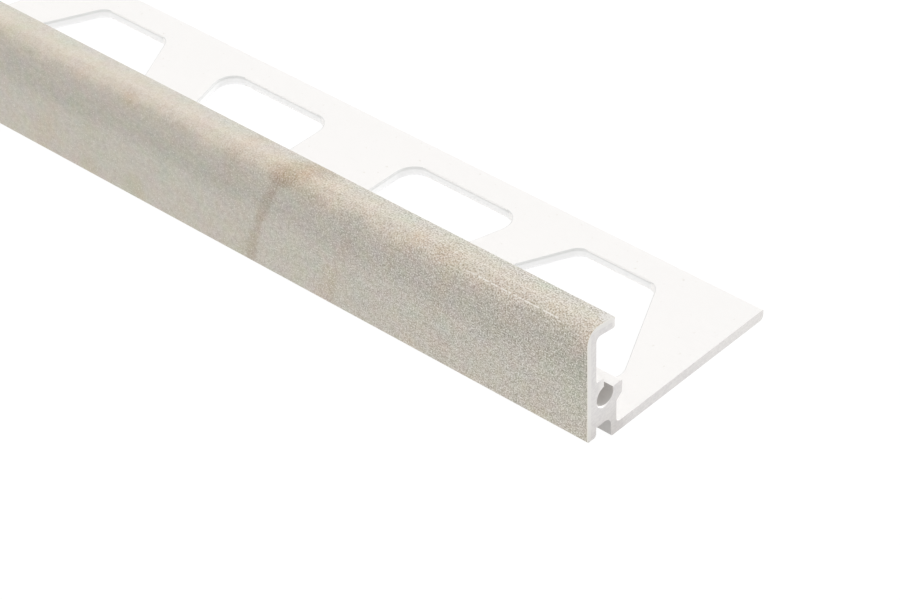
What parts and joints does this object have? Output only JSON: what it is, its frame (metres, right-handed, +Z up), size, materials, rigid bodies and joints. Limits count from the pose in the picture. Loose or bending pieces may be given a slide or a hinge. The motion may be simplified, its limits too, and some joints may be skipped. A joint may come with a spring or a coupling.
{
  "type": "tile edge trim",
  "caption": "Straight edge trim for wall tiles: an extruded PVC bar with a stone-effect face wall, a rounded lip, a key channel for corner pieces and a punched bedding flange.",
  "frame": {"origin": "middle of the footprint, on the underside of the flange", "axes": "+X along the stock to its near end, +Y from the face wall to the flange's back edge, +Z up from the flange to the lip"},
  "size_m": [1.83, 0.0238, 0.0127],
  "materials": {
    "white_pvc": "satin extruded",
    "stone_film": "satin film printed with a stone effect"
  },
  "bodies": {
    "root": {"trim_profile": "white_pvc"}
  },
  "joints": []
}
